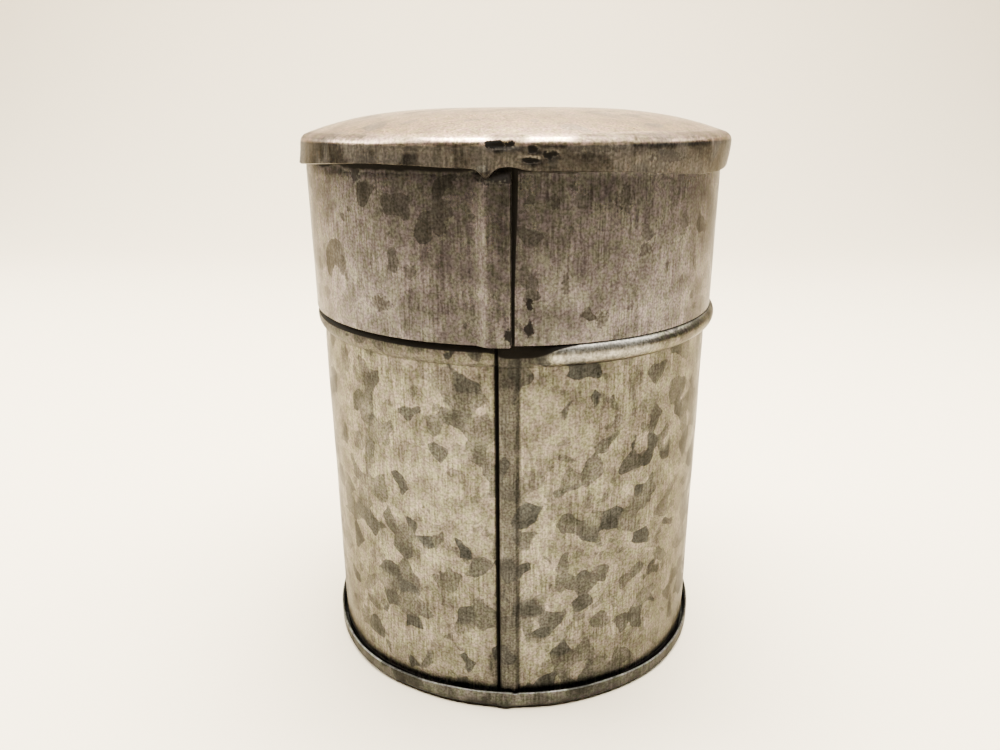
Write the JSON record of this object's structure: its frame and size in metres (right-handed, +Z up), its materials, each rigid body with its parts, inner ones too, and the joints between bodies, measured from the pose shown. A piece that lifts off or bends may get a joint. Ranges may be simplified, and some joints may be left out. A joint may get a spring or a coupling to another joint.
{
  "type": "spice tin",
  "caption": "Round galvanised sheet-metal tin with a lock-seamed wall, a rolled stop bead, a base pan and a deep slip lid with a crowned top.",
  "frame": {"origin": "centre of the base, on the surface the tin stands on", "axes": "+Z up along the tin's axis, -Y towards the side with the two lock seams, +X to the right of that side"},
  "size_m": [0.0636, 0.0636, 0.0832],
  "materials": {
    "body_sheet": "aged galvanised sheet, warm grey with darker crystal spangles, satin",
    "base_sheet": "aged galvanised sheet, dulled and darkened by handling",
    "lid_sheet": "aged galvanised sheet, smoother, with few small spangles, satin",
    "lid_top_sheet": "aged galvanised sheet, darkened on the turned-down rim, dented beside the seam"
  },
  "bodies": {
    "tin": {"body_wall": "body_sheet", "base": "base_sheet"},
    "lid": {"lid_wall": "lid_sheet", "lid_top": "lid_top_sheet"}
  },
  "joints": [
    {"name": "lid_lift", "type": "slide", "parent": "tin", "child": "lid", "axis": [0, 0, 1], "range_m": [0, 0.03]}
  ]
}
